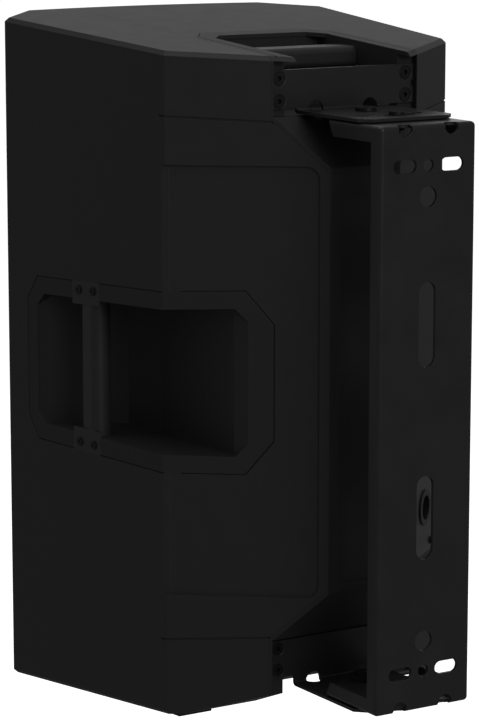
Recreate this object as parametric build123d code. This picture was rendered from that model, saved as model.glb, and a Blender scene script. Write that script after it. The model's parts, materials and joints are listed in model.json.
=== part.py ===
from build123d import *
import math
import os

# Two-way moulded loudspeaker on a panning wall bracket.
#
# Everything is modelled in the cabinet's own frame, in millimetres: X to the right seen from
# the front, Y from the grille (0) to the rear, Z up from mid-height. At export each piece is
# moved so that the origin is the centre of the wall plate's back face.

# ---------------------------------------------------------------- cabinet, driving dimensions
CAB_HEIGHT = 640.0          # at the front edge
CAB_TAPER = 4.0             # degrees that top and bottom fall towards the rear
CAB_WIDTH = 356.0           # across the widest point, behind the front facets
FRONT_FLAT = 261.0          # width of the bowed middle of the front
FRONT_BOW = 8.0             # how far that middle stands forward
FACET_DEPTH = 47.0          # depth of the angled front facets
SIDE_REAR_Y = 294.0         # where the sides end and the rear chamfers start
SIDE_REAR_WIDTH = 303.0     # cabinet width there
CAB_DEPTH = 385.0           # front facet corner to the rear face
REAR_FLAT = 73.0            # width of the flat rear face
UNDERCUT_Y = 300.0          # where the bottom turns up towards the rear
UNDERCUT_ANGLE = 22.3       # degrees
WALL = 6.0                  # shell wall
EDGE_RADIUS = 4.0           # upright edges
RIM_BEVEL = 4.0             # bevel round the top and the bottom
PARTING_Y = 48.0            # joint between front moulding and rear shell
GROOVE_WIDTH = 1.8
GROOVE_DEPTH = 1.2
GROOVE_DROP = 56.0          # upper groove below the top
LOWER_GROOVE_RISE = 70.0    # lower groove above the bottom
RECESS_DEPTH = 3.0          # sunk panel on each rear chamfer
RECESS_TOP = 200.0
RECESS_BOTTOM = -187.0
RECESS_INNER_X = 44.0       # the panel stops this far from the centre plane
RECESS_RADIUS = 12.0
LABEL_WIDTH = 52.0          # blank sunk field on the rear face
LABEL_HEIGHT = 350.0
LABEL_DEPTH = 1.2

# ---------------------------------------------------------------- front moulding and grille
BAFFLE_Y = 36.0             # front face of the baffle plate
LIP_HEIGHT = 15.0           # lips above and below the grille
GRILLE_INSET = 3.0          # grille sits this far behind the lips
GRILLE_SHEET = 1.5
FOAM_THICKNESS = 4.0
GRILLE_GAP = 0.5            # grille edge to lip
GRILLE_SCREW_X = 62.0
GRILLE_SCREW_Z = 292.0
POST_RADIUS = 6.0
GRILLE_SCREW_RADIUS = 2.0
BOSS_RADIUS = 7.0
BOSS_LENGTH = 30.0
BOSS_OUTSET = 16.0          # outer bosses beyond the flat front
BAFFLE_SCREW_RADIUS = 2.2
BAFFLE_SCREW_LENGTH = 28.0

# ---------------------------------------------------------------- woofer
WOOFER_RADIUS = 154.0       # frame rim
WOOFER_RISE = 180.0         # axis above the cabinet's front bottom edge
WOOFER_SEAT = 3.0           # rim sunk into the baffle
WOOFER_RIM = 5.0
WOOFER_CUTOUT = 143.0       # radius of the hole in the baffle
WOOFER_DEPTH = 84.0         # rim to the basket's rear plate
BASKET_SHEET = 3.0
BASKET_REAR_RADIUS = 78.0
BASKET_SPOKES = 6
COIL_RADIUS = 38.0          # middle of the voice coil
COIL_WALL = 1.2
COIL_CLEARANCE = 1.0        # coil to pole and to top plate
CONE_RADIUS = 125.0
CONE_WALL = 1.2
CONE_TRAVEL = 6.0
MOVING_CLEARANCE = 0.4      # cone to surround, coil to spider
MAGNET_RADIUS = 80.0
MAGNET_THICKNESS = 20.0
PLATE_RADIUS = 66.0         # steel top plate and back plate
PLATE_THICKNESS = 8.0
WOOFER_SCREWS = 8
WOOFER_SCREW_CIRCLE = 149.0

# ---------------------------------------------------------------- horn and compression driver
HORN_DROP = 146.0           # axis below the cabinet's front top edge
HORN_FLANGE = (250.0, 190.0)
HORN_MOUTH = (214.0, 154.0)
HORN_LENGTH = 112.0
HORN_WALL = 4.0
THROAT_RADIUS = 12.7
DRIVER_RADIUS = 48.0
DRIVER_FRONT = 8.0
DRIVER_MAGNET = 20.0
DRIVER_COVER = 26.0
DIAPHRAGM_RADIUS = 22.0
DIAPHRAGM_TRAVEL = 0.3
PORT_RADIUS = 27.0
PORT_WALL = 2.0
PORT_LENGTH = 66.0
PORT_X = 126.0
PORT_Z = 46.0

# ---------------------------------------------------------------- pockets and brackets
POCKET_WIDTH = 152.0        # clear width of both rear pockets
LINER_SIDE = 2.0
LINER_WALL = 3.0
UPPER_FLOOR_DROP = 52.5     # upper pocket floor below the top at POCKET_BEND_Y
LOWER_CEILING_RISE = 68.5   # lower pocket ceiling above the (uncut) bottom there
POCKET_BEND_Y = 354.0       # floors turn steeply down to the rear face from here
POCKET_SLOPE = 1.41         # fall of that slope
UPPER_POCKET_FRONT = 216.0
LOWER_POCKET_FRONT = 314.0
POCKET_RIM = 4.0            # thickness of the rim plate in the top surface
RIM_SEAM_FRONT = 203.0
RIM_SEAM_CORNER = 22.0
MOUTH_FRONT = 216.5         # opening in the rim, as wide as the space between the posts
MOUTH_CORNER = (13.0, 15.0)
RIM_LINE_HALF = 72.5        # fine line round the mouth
RIM_LINE_FRONT = 198.0
RIM_LINE_CORNER = (16.0, 23.0)
LINE_WIDTH = 0.9
LINE_DEPTH = 1.0
SCOOP_FRONT = 246.0         # the bottom is hollowed ahead of the lower pocket from here
SCOOP_DROP = 44.5           # scoop below the lower pocket's ceiling
HANDLE_BAR_Y = 264.0
HANDLE_BAR_DEPTH = 34.0
HANDLE_BAR_THICK = 19.0
HANDLE_BAR_DROP = 6.0       # below the top surface

SHEET = 3.0                 # steel of all three brackets
PLATE_FACE_Y = 349.0        # rear face of the speaker brackets' plates
PLATE_WIDTH = 151.0
PLATE_HEIGHT = 35.0
UPPER_PLATE_DROP = 30.0     # plate centre below the top there
LOWER_PLATE_RISE = 48.5     # plate centre above the (uncut) bottom there
UPPER_TAB = 0.8             # extra height of the upper bracket's middle
LOWER_TAB = 6.7             # the same on the lower bracket
PLATE_SCREW_X = 67.0
PLATE_SCREW_PITCH = 20.0
SCREW_RADIUS = 3.0
SCREW_HEAD_RADIUS = 6.0
SCREW_HEAD_GAP = 0.6        # countersinks are cut a little wider than the heads
SCREW_LENGTH = 20.0
INSERT_RADIUS = 4.5
POST_INNER_X = 60.0
FLANGE_WIDTH = 98.0
FLANGE_LENGTH = 104.0       # from the plate's face towards the wall
FLANGE_CORNER = 10.0
NOTCH_X = 28.7              # round holes across the bends
NOTCH_RADIUS = 7.6
EDGE_NOTCH = (3.0, 5.0)     # small notches in the plate's ends

PIVOT_Y = 385.0
PIVOT_RADIUS = 6.0
PIVOT_CLEARANCE = 0.08
PAN_LIMIT = 40.0            # degrees each way
LOCK_CIRCLE = 46.0          # lock bolt from the pivot
LOCK_RADIUS = 4.0
LOCK_SLOT_CLEARANCE = 0.5
WASHER = 0.6                # plain washers between arm and flange
FACE_GAP = 0.3              # between faces that slide as the speaker pans
HEAD_HEIGHT = 3.0           # low round heads with a hexagon socket
NUT_HEIGHT = 6.0

WALL_GAP = 94.0             # cabinet's rear face to the wall
BRACKET_WIDTH = 100.0
BRACKET_LIP = 14.0
BRACKET_BEND = 4.0          # outer bend radius
ARM_END_Y = 402.0
ARM_END_SLANT = 6.0
NOSE_RADIUS = 21.0
ROUND_HOLE = 5.4
SIDE_SLOT = (24.0, 11.6)
SIDE_SLOT_X = 24.5
HOLE_ROW = 221.8            # from the plate's middle
CABLE_HOLE = 9.0
CABLE_HOLE_ROW = 195.0
LONG_SLOT = (17.6, 74.0)
LONG_SLOT_ROW = 84.8
BEND_HOLE_X = 24.0
BEND_HOLE_RADIUS = 7.0
BEND_HOLE_DROP = 2.7        # centre of those holes below the bend

# ---------------------------------------------------------------- side handles
HANDLE_TOP_FRONT = 78.4     # outline of the flush rim, seen from the side
HANDLE_TOP_REAR = 90.5
HANDLE_BOTTOM = -76.5
HANDLE_FRONT_Y = 80.0
HANDLE_REAR_Y = 352.0
HANDLE_FRONT_CORNER = (16.0, 21.5)
HANDLE_REAR_CORNER = (16.0, 31.0)
HANDLE_RIM = 16.5           # height of the rim above and below the opening
HANDLE_RIM_FRONT = 16.0
HANDLE_RIM_REAR = 12.5
HANDLE_RIM_THICK = 3.5
CUP_WALL = 2.5
CUP_FLOOR = ((165.0, 102.0), (126.0, 126.0), (106.0, 150.0), (100.0, 200.0), (98.0, 324.0))
GRIP_Y = 174.0
GRIP_WIDTH = 30.0
GRIP_THICK = 20.0
GRIP_SINK = 1.0             # grip below the cabinet's side
TAB_WIDTH = 42.0
TAB_THICK = 2.0
TAB_OVERHANG = 5.0
GRIP_SCREW_PITCH = 22.0
GRIP_SCREW_RADIUS = 2.0

# ---------------------------------------------------------------- electrical and fittings
INPUT_PLATE = (104.0, 88.0)
INPUT_PLATE_THICK = 3.0
INPUT_PLATE_Z = -132.0
INPUT_PLATE_ALONG = -4.0    # from the chamfer's middle, towards the rear
SOCKET_PITCH = 44.0
SOCKET_BORE = 11.5
SOCKET_BODY = 14.0
SOCKET_DEPTH = 26.0
BOARD = (150.0, 100.0)
BOARD_THICK = 1.6
BOARD_Y = 237.0
BOARD_RISE = 27.0
POLE_BORE = 18.0
POLE_DEPTH = 66.0
POLE_WALL = 4.0
POLE_Y = 152.0
FOOT = (34.0, 36.0)
FOOT_THICK = 3.0
FOOT_FRONT = (142.0, 76.0)
FOOT_REAR = (122.0, 278.0)
DAMPING = 20.0

# ---------------------------------------------------------------- values that follow
HALF_HEIGHT = CAB_HEIGHT / 2
WALL_Y = CAB_DEPTH + WALL_GAP
WOOFER_Z = WOOFER_RISE - HALF_HEIGHT
HORN_Z = HALF_HEIGHT - HORN_DROP
SEAT_Y = BAFFLE_Y + WOOFER_SEAT
FAR = 600.0


def top_z(y):
    """Height of the top surface at depth y; the bottom is its mirror image."""
    return HALF_HEIGHT - y * math.tan(math.radians(CAB_TAPER))


UPPER_PLATE_Z = top_z(PLATE_FACE_Y) - UPPER_PLATE_DROP
LOWER_PLATE_Z = LOWER_PLATE_RISE - top_z(PLATE_FACE_Y)
UPPER_FLANGE_TOP = UPPER_PLATE_Z - PLATE_HEIGHT / 2 - UPPER_TAB
LOWER_FLANGE_TOP = LOWER_PLATE_Z - PLATE_HEIGHT / 2 - LOWER_TAB
ARM_TOP = UPPER_FLANGE_TOP - SHEET - FACE_GAP - WASHER
ARM_BOTTOM = LOWER_FLANGE_TOP + FACE_GAP + WASHER
PLATE_MID_Z = (ARM_TOP + ARM_BOTTOM) / 2
UPPER_FLOOR_Z = top_z(POCKET_BEND_Y) - UPPER_FLOOR_DROP
LOWER_CEILING_Z = LOWER_CEILING_RISE - top_z(POCKET_BEND_Y)
GRILLE_TOP = HALF_HEIGHT - LIP_HEIGHT
CHAMFER_LENGTH = math.hypot((SIDE_REAR_WIDTH - REAR_FLAT) / 2, CAB_DEPTH - SIDE_REAR_Y)
CHAMFER_PLANE = Plane(
    origin=((SIDE_REAR_WIDTH + REAR_FLAT) / 4, (SIDE_REAR_Y + CAB_DEPTH) / 2, 0),
    x_dir=((REAR_FLAT - SIDE_REAR_WIDTH) / 2, CAB_DEPTH - SIDE_REAR_Y, 0),
    z_dir=(CAB_DEPTH - SIDE_REAR_Y, (SIDE_REAR_WIDTH - REAR_FLAT) / 2, 0),
)

parts = {}


# ---------------------------------------------------------------- helpers
def side_x(y):
    """Half width of the cabinet's straight side at depth y."""
    slope = (SIDE_REAR_WIDTH - CAB_WIDTH) / 2 / (SIDE_REAR_Y - FACET_DEPTH)
    return CAB_WIDTH / 2 + slope * (y - FACET_DEPTH)


def upright(points, z0, z1):
    """Prism from a plan outline."""
    face = make_face(Polyline(*points, close=True))
    return extrude(Plane.XY.offset(z0) * face, amount=z1 - z0)


def across(points, x0, x1):
    """Prism along X from a side-view outline of (y, z) points."""
    face = make_face(Polyline(*points, close=True))
    return extrude(Plane.YZ.offset(x0) * face, amount=x1 - x0)


def block(x0, x1, y0, y1, z0, z1):
    return Pos((x0 + x1) / 2, (y0 + y1) / 2, (z0 + z1) / 2) * Box(x1 - x0, y1 - y0, z1 - z0)


def rod_y(radius, y0, y1, x, z):
    return Pos(x, (y0 + y1) / 2, z) * Rot(90, 0, 0) * Cylinder(radius, y1 - y0)


def rod_z(radius, z0, z1, x, y):
    return Pos(x, y, (z0 + z1) / 2) * Cylinder(radius, z1 - z0)


def tube_y(outer, inner, y0, y1, x, z):
    return rod_y(outer, y0, y1, x, z) - rod_y(inner, y0, y1, x, z)


def turned(points, z):
    """Solid of revolution about an axis along Y at height z, from (radius, y) points."""
    face = make_face(Polyline(*points, close=True))
    return Pos(0, 0, z) * revolve(face, Axis.Y)


def on_circle(count, radius, start=0.0):
    step = 360 / count
    return [
        (radius * math.cos(math.radians(start + i * step)), radius * math.sin(math.radians(start + i * step)))
        for i in range(count)
    ]


def hexagon_z(across_flats, z0, z1, x, y):
    face = Plane.XY.offset(z0) * Pos(x, y) * RegularPolygon(across_flats / 2, 6, major_radius=False)
    return extrude(face, amount=z1 - z0)


def mirrored(shape):
    return mirror(shape, about=Plane.YZ)


def both_sides(shape):
    return [shape, mirrored(shape)]


def add(name, *shapes):
    """Keep one node: a single solid, or a group of separate ones."""
    solids = [solid for shape in shapes for solid in shape.solids()]
    parts[name] = solids[0] if len(solids) == 1 else Compound(children=solids)


# ---------------------------------------------------------------- cabinet envelope
def plan_face(inset):
    """Cabinet outline seen from above, with its bowed front, moved inwards by inset."""
    front, side, rear = FRONT_FLAT / 2, CAB_WIDTH / 2, SIDE_REAR_WIDTH / 2
    flat = REAR_FLAT / 2
    walls = Polyline(
        (front, 0), (side, FACET_DEPTH), (rear, SIDE_REAR_Y), (flat, CAB_DEPTH),
        (-flat, CAB_DEPTH), (-rear, SIDE_REAR_Y), (-side, FACET_DEPTH), (-front, 0),
    )
    bow = ThreePointArc((-front, 0), (0, -FRONT_BOW), (front, 0))
    face = make_face([walls.edges(), bow])
    if inset:
        face = offset(face, -inset, kind=Kind.INTERSECTION)
    return face


def profile_points(inset):
    """Side view of the cabinet with its sloping top and bottom, from front to rear."""
    slope = math.radians(CAB_TAPER)
    cut = math.radians(UNDERCUT_ANGLE)
    rise = inset / math.cos(slope)
    cut_rise = inset / math.cos(cut)
    front, rear = -2 * FRONT_BOW, CAB_DEPTH + FRONT_BOW
    corner_z = -top_z(UNDERCUT_Y)
    # the inset bottom and the inset undercut meet a little in front of the outer corner
    corner_y = UNDERCUT_Y + (rise - cut_rise) / (math.tan(cut) - math.tan(slope))
    return [
        (front, top_z(front) - rise), (rear, top_z(rear) - rise),
        (rear, corner_z + (rear - UNDERCUT_Y) * math.tan(cut) + cut_rise),
        (corner_y, rise - top_z(corner_y)), (front, rise - top_z(front)),
    ]


def envelope(inset):
    body = extrude(Plane.XY.offset(-FAR) * plan_face(inset), amount=2 * FAR)
    return body & across(profile_points(inset), -FAR, FAR)


def outer_body():
    """The cabinet's outside, with rounded upright edges and bevelled top and bottom rims."""
    body = envelope(0)
    top = body.faces().sort_by(Axis.Z)[-1]
    bottom = body.faces().filter_by(lambda f: f.normal_at().Z < -0.9).sort_by(Axis.Z)[0]
    edges = top.edges() + [e for e in bottom.edges() if e.center().Y < UNDERCUT_Y - 1]
    body = chamfer(edges, RIM_BEVEL)
    return fillet(body.edges().filter_by(Axis.Z), EDGE_RADIUS)


OUTER = outer_body()
CAVITY = envelope(WALL) & block(-FAR, FAR, PARTING_Y - 1, FAR, -FAR, FAR)
BEHIND = block(-FAR, FAR, PARTING_Y, FAR, -FAR, FAR)
AHEAD = block(-FAR, FAR, -FAR, PARTING_Y, -FAR, FAR)


def boss_places():
    """Screw places that join the two mouldings, clear of woofer, horn and ports."""
    side = FRONT_FLAT / 2 + BOSS_OUTSET
    rows = [HALF_HEIGHT - 70, HALF_HEIGHT - 210, WOOFER_Z + 90, WOOFER_Z - 90]
    places = [(s * side, z) for s in (1, -1) for z in rows]
    end = GRILLE_TOP - 9
    return places + [(s * FRONT_FLAT * 0.33, t * end) for s in (1, -1) for t in (1, -1)]


def bosses():
    """Screw bosses with a rib each to the nearest wall."""
    solids = []
    for x, z in boss_places():
        solids.append(rod_y(BOSS_RADIUS, PARTING_Y, PARTING_Y + BOSS_LENGTH, x, z))
        y1 = PARTING_Y + BOSS_LENGTH - 4
        if abs(x) > FRONT_FLAT / 2:
            reach = math.copysign(CAB_WIDTH / 2, x)
            solids.append(block(min(x, reach), max(x, reach), PARTING_Y, y1, z - 2, z + 2))
        else:
            reach = math.copysign(HALF_HEIGHT, z)
            solids.append(block(x - 2, x + 2, PARTING_Y, y1, min(z, reach), max(z, reach)))
    return solids


# ---------------------------------------------------------------- rear pockets
def pocket_floor_points(upper, drop):
    """Side view of a pocket's clear space, its floor moved outwards (away from the pocket) by drop."""
    sign = 1 if upper else -1
    level = UPPER_FLOOR_Z if upper else -LOWER_CEILING_Z
    front = (UPPER_POCKET_FRONT if upper else LOWER_POCKET_FRONT) - drop
    rear = CAB_DEPTH + 40
    shift = drop * (math.hypot(1, POCKET_SLOPE) - 1) / POCKET_SLOPE
    bend = POCKET_BEND_Y - shift
    fall = (rear - bend) * POCKET_SLOPE
    points = [(front, FAR), (front, level - drop), (bend, level - drop), (rear, level - drop - fall), (rear, FAR)]
    return [(y, sign * z) for y, z in points]


def seam_outline():
    half = POCKET_WIDTH / 2 + LINER_SIDE
    corner = RIM_SEAM_CORNER
    return [
        (half, FAR), (half, RIM_SEAM_FRONT + corner), (half - corner, RIM_SEAM_FRONT),
        (corner - half, RIM_SEAM_FRONT), (-half, RIM_SEAM_FRONT + corner), (-half, FAR),
    ]


def mouth_outline():
    """Opening in the rim."""
    half, front = POST_INNER_X, MOUTH_FRONT
    dx, dy = MOUTH_CORNER
    return [(half, FAR), (half, front + dy), (half - dx, front), (dx - half, front), (-half, front + dy), (-half, FAR)]


def rim_line():
    """Fine line in the top surface round the mouth."""
    half, front = RIM_LINE_HALF, RIM_LINE_FRONT
    dx, dy = RIM_LINE_CORNER
    face = make_face(Polyline(
        (half, FAR), (half, front + dy), (half - dx, front), (dx - half, front), (-half, front + dy), (-half, FAR),
        close=True))
    ring = face - offset(face, -LINE_WIDTH, kind=Kind.INTERSECTION)
    top_skin = (OUTER - envelope(LINE_DEPTH)) & block(-FAR, FAR, 0, POCKET_BEND_Y, 0, FAR)
    return extrude(ring, amount=FAR) & top_skin


def scoop(grow):
    """Hollow in the bottom ahead of the lower pocket, or its liner's outside when grown."""
    top = LOWER_CEILING_Z - SCOOP_DROP
    low = -top_z(SCOOP_FRONT)
    slope = (top - low) / (LOWER_POCKET_FRONT - SCOOP_FRONT)
    lift = grow * math.hypot(1, slope)
    rear, front = LOWER_POCKET_FRONT + 2, SCOOP_FRONT - 40
    return across(
        [(rear, top + 2 * slope + lift), (front, low - 40 * slope + lift), (front, -FAR), (rear, -FAR)],
        -POST_INNER_X - grow, POST_INNER_X + grow)


def pocket_block(upper):
    """Everything the liner fills, from the outer skin inwards."""
    half = POCKET_WIDTH / 2 + LINER_SIDE
    solid = across(pocket_floor_points(upper, LINER_WALL), -half, half)
    if upper:
        rim = across(
            [(RIM_SEAM_FRONT - 10, top_z(RIM_SEAM_FRONT - 10) - POCKET_RIM), (FAR, top_z(FAR) - POCKET_RIM),
             (FAR, FAR), (RIM_SEAM_FRONT - 10, FAR)], -half, half)
        solid = (solid + rim) & upright(seam_outline(), -FAR, FAR)
    else:
        solid += scoop(LINER_WALL)
    return solid


def pocket_space(upper):
    """The clear space of a pocket."""
    half = POCKET_WIDTH / 2
    space = across(pocket_floor_points(upper, 0), -half, half)
    if upper:
        under_rim = across(
            [(0, -FAR), (FAR, -FAR), (FAR, top_z(FAR) - POCKET_RIM), (0, top_z(0) - POCKET_RIM)], -FAR, FAR)
        mouth = upright(mouth_outline(), UPPER_FLOOR_Z + 1, FAR)
        space = (space & under_rim) + mouth
    else:
        space += scoop(0)
    return space


def plate_screw_places(plate_z):
    return [(s * PLATE_SCREW_X, plate_z + t * PLATE_SCREW_PITCH / 2) for s in (1, -1) for t in (1, -1)]


def pocket_liner(upper):
    plate_z = UPPER_PLATE_Z if upper else LOWER_PLATE_Z
    front = UPPER_POCKET_FRONT if upper else LOWER_POCKET_FRONT
    liner = (pocket_block(upper) & OUTER) - pocket_space(upper)
    back = PLATE_FACE_Y - SHEET
    level = UPPER_FLOOR_Z if upper else LOWER_CEILING_Z
    low, high = (level, FAR) if upper else (-FAR, level)
    post = block(POST_INNER_X, POCKET_WIDTH / 2, front, back, low, high)
    liner = liner + both_sides(post & pocket_block(upper))
    for x, z in plate_screw_places(plate_z):
        liner -= rod_y(INSERT_RADIUS, back - SCREW_LENGTH, back + 1, x, z)
    liner = liner & OUTER
    if upper:
        liner -= rim_line()
    return liner


def handle_bar():
    """Crowned grip across the upper pocket."""
    top = top_z(HANDLE_BAR_Y) - HANDLE_BAR_DROP
    rounding = HANDLE_BAR_THICK * 0.3
    half = POST_INNER_X
    section = Plane.YZ.offset(-half) * Pos(HANDLE_BAR_Y, top - HANDLE_BAR_THICK / 2) * RectangleRounded(
        HANDLE_BAR_DEPTH, HANDLE_BAR_THICK, rounding)
    return extrude(section, amount=2 * half)


# ---------------------------------------------------------------- side handles
def handle_outline(rim, front_rim, rear_rim):
    """Handle outline in side view, (y, z), moved in by the rim widths."""
    front, rear = HANDLE_FRONT_Y + front_rim, HANDLE_REAR_Y - rear_rim
    tilt = (HANDLE_TOP_REAR - HANDLE_TOP_FRONT) / (HANDLE_REAR_Y - HANDLE_FRONT_Y)

    def top(y):
        return HANDLE_TOP_FRONT + tilt * (y - HANDLE_FRONT_Y) - rim

    bottom = HANDLE_BOTTOM + rim
    (fy, fz), (ry, rz) = HANDLE_FRONT_CORNER, HANDLE_REAR_CORNER
    if rim:
        fy, fz, ry, rz = fy * 0.7, fz * 0.5, ry * 0.6, rz * 0.5
    return [
        (front, bottom + fz), (front + fy, bottom), (rear - ry, bottom), (rear, bottom + rz),
        (rear, top(rear) - rz), (rear - ry, top(rear - ry)), (front + fy, top(front + fy)), (front, top(front) - fz),
    ]


def cup_plan(grow):
    """Plan of the hand space: the cup's inner walls, moved outwards by grow."""
    front_y = HANDLE_FRONT_Y + HANDLE_RIM_FRONT
    rear_y = HANDLE_REAR_Y - HANDLE_RIM_REAR
    points = [(side_x(front_y) + 30, front_y - 8), (side_x(front_y) - 2, front_y)]
    points += list(CUP_FLOOR)
    points += [(REAR_FLAT / 2 + (CAB_DEPTH - rear_y) * 1.26 - 3, rear_y), (CAB_WIDTH / 2 + 30, rear_y + 20)]
    face = make_face(Polyline(*points, close=True))
    if grow:
        face = offset(face, grow, kind=Kind.INTERSECTION)
    return face


HANDLE_BLOCK = across(handle_outline(0, 0, 0), 0, FAR)
HANDLE_MOUTH = across(handle_outline(HANDLE_RIM, HANDLE_RIM_FRONT, HANDLE_RIM_REAR), 0, FAR)
RIM_LAYER = OUTER - envelope(HANDLE_RIM_THICK)
CHAMFER_SKIN = Plane(
    origin=CHAMFER_PLANE.origin - CHAMFER_PLANE.z_dir * RECESS_DEPTH,
    x_dir=CHAMFER_PLANE.x_dir,
    z_dir=CHAMFER_PLANE.z_dir,
)


def hand_space(grow):
    """Clear space for the hand, or the cup's outside when grown by its wall."""
    space = extrude(Plane.XY.offset(-FAR) * cup_plan(grow), amount=2 * FAR)
    outline = handle_outline(HANDLE_RIM - grow, HANDLE_RIM_FRONT - grow, HANDLE_RIM_REAR - grow)
    return space & across(outline, 0, FAR)


def chamfer_recess():
    """Sunk panel on the right rear chamfer, running out over the side edge."""
    rear = CHAMFER_LENGTH / 2 - (RECESS_INNER_X - REAR_FLAT / 2) * CHAMFER_LENGTH / (
        (SIDE_REAR_WIDTH - REAR_FLAT) / 2)
    length = rear + CHAMFER_LENGTH / 2 + 3 * RECESS_RADIUS
    height = RECESS_TOP - RECESS_BOTTOM
    panel = Pos(rear - length / 2, (RECESS_TOP + RECESS_BOTTOM) / 2) * RectangleRounded(length, height, RECESS_RADIUS)
    return extrude(CHAMFER_SKIN * panel, amount=2 * RECESS_DEPTH)


def handle_line():
    """Fine line just inside the rim's outline, on the side and on the sunk chamfer panel."""
    face = Plane.YZ * make_face(Polyline(*handle_outline(0, 0, 0), close=True))
    ring = extrude(face - offset(face, -LINE_WIDTH, kind=Kind.INTERSECTION), amount=FAR)
    side_skin = OUTER - envelope(LINE_DEPTH)
    chamfer_skin = OUTER - envelope(RECESS_DEPTH + LINE_DEPTH)
    return ring & (side_skin + (chamfer_skin & block(0, FAR, SIDE_REAR_Y + 6, FAR, -FAR, FAR)))


def side_handle_cup():
    """Moulded cup with a flush rim; the rim follows side and chamfer."""
    rim = (HANDLE_BLOCK & RIM_LAYER) - chamfer_recess()
    rim += (HANDLE_BLOCK & chamfer_floor_strip())
    shell = (hand_space(CUP_WALL) & OUTER) - chamfer_recess()
    cup = (rim + shell) - hand_space(0)
    cup -= grip_tabs(0)
    cup -= handle_line()
    for hole in grip_screw_holes():
        cup -= hole
    return cup


def chamfer_floor_strip():
    """Rim material under the sunk panel, so that the rim keeps its thickness there."""
    return (envelope(RECESS_DEPTH) - envelope(RECESS_DEPTH + HANDLE_RIM_THICK)) & block(
        0, FAR, SIDE_REAR_Y - 6, FAR, -FAR, FAR)


def grip_tabs(overhang):
    """Flush tabs at both ends of the grip, reaching over the opening by overhang."""
    zone = block(0, FAR, GRIP_Y - TAB_WIDTH / 2, GRIP_Y + TAB_WIDTH / 2, -FAR, FAR)
    clear = across(handle_outline(HANDLE_RIM + overhang, HANDLE_RIM_FRONT, HANDLE_RIM_REAR), 0, FAR)
    return zone & (HANDLE_BLOCK - clear) & (OUTER - envelope(TAB_THICK))


def side_grip():
    """Upright grip bar with a screwed tab at each end."""
    outer_x = side_x(GRIP_Y) - GRIP_SINK
    section = Pos(outer_x - GRIP_THICK / 2, GRIP_Y) * RectangleRounded(GRIP_THICK, GRIP_WIDTH, GRIP_THICK * 0.45)
    bar = extrude(Plane.XY.offset(-FAR) * section, amount=2 * FAR) & HANDLE_MOUTH
    grip = grip_tabs(TAB_OVERHANG) + bar
    for hole in grip_screw_holes():
        grip -= hole
    return grip


def grip_screw_places():
    tilt = (HANDLE_TOP_REAR - HANDLE_TOP_FRONT) / (HANDLE_REAR_Y - HANDLE_FRONT_Y)
    places = []
    for y in (GRIP_Y - GRIP_SCREW_PITCH / 2, GRIP_Y + GRIP_SCREW_PITCH / 2):
        places.append((y, HANDLE_TOP_FRONT + tilt * (y - HANDLE_FRONT_Y) - HANDLE_RIM / 2))
        places.append((y, HANDLE_BOTTOM + HANDLE_RIM / 2))
    return places


def grip_screw_axis(y, z):
    """Frame at a grip screw, its Z pointing straight out of the side."""
    lean = math.degrees(math.atan2((CAB_WIDTH - SIDE_REAR_WIDTH) / 2, SIDE_REAR_Y - FACET_DEPTH))
    return Pos(side_x(y), y, z) * Rot(0, 90, 0) * Rot(-lean, 0, 0)


def grip_screw_holes():
    return [grip_screw_axis(y, z) * Cylinder(GRIP_SCREW_RADIUS, 30) for y, z in grip_screw_places()]


def grip_screws():
    screws = []
    for y, z in grip_screw_places():
        head = Pos(0, 0, 0.6) * Cylinder(4.0, 1.2)
        socket = Pos(0, 0, 1.0) * Cylinder(1.6, 0.8)
        shank = Pos(0, 0, -4.5) * Cylinder(GRIP_SCREW_RADIUS, 9)
        screws.append(grip_screw_axis(y, z) * (head + shank - socket))
    return screws


# ---------------------------------------------------------------- shell
def grooves():
    """Shallow lines round the rear, parallel to the top and the bottom."""
    skin = OUTER - envelope(GROOVE_DEPTH)
    start = SIDE_REAR_Y - 7
    lines = []
    for sign, drop in ((1, GROOVE_DROP), (-1, LOWER_GROOVE_RISE)):
        near, far = top_z(start) - drop, top_z(FAR) - drop
        points = [(start, sign * near), (FAR, sign * far),
                  (FAR, sign * (far - GROOVE_WIDTH)), (start, sign * (near - GROOVE_WIDTH))]
        lines.append(skin & across(points, -FAR, FAR))
    return lines


def label_field():
    field = Plane.XZ.offset(-CAB_DEPTH) * RectangleRounded(LABEL_WIDTH, LABEL_HEIGHT, 5)
    return extrude(field, amount=LABEL_DEPTH)


def input_frame(along, z):
    """Frame on the floor of the left chamfer's sunk panel, Z outwards."""
    plane = Plane(
        origin=(-CHAMFER_SKIN.origin.X, CHAMFER_SKIN.origin.Y, 0),
        x_dir=(CHAMFER_PLANE.x_dir.X, -CHAMFER_PLANE.x_dir.Y, 0),
        z_dir=(-CHAMFER_PLANE.z_dir.X, CHAMFER_PLANE.z_dir.Y, 0),
    )
    return plane.location * Pos(along, z, 0)


def cabinet_shell():
    shell = (OUTER & BEHIND) - CAVITY
    for solid in bosses():
        shell = shell + (solid & OUTER)
    for x, z in boss_places():
        shell -= rod_y(BAFFLE_SCREW_RADIUS, PARTING_Y - 1, PARTING_Y + BOSS_LENGTH - 6, x, z)
    recess = chamfer_recess()
    handle = HANDLE_BLOCK & RIM_LAYER
    handle += HANDLE_BLOCK & chamfer_floor_strip()
    handle += hand_space(CUP_WALL)
    for cut in (recess, mirrored(recess), handle):
        shell -= cut
    for hole in grip_screw_holes():
        shell -= hole
    shell -= pocket_block(True)
    shell -= pocket_block(False)
    for line in grooves():
        shell -= line
    shell -= label_field()
    shell -= rim_line()
    opening = input_frame(INPUT_PLATE_ALONG, INPUT_PLATE_Z) * Box(INPUT_PLATE[0] - 16, INPUT_PLATE[1] - 16, 30)
    shell -= opening
    shell -= rod_z(POLE_BORE + POLE_WALL, -FAR, 0, 0, POLE_Y)
    return shell


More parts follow.
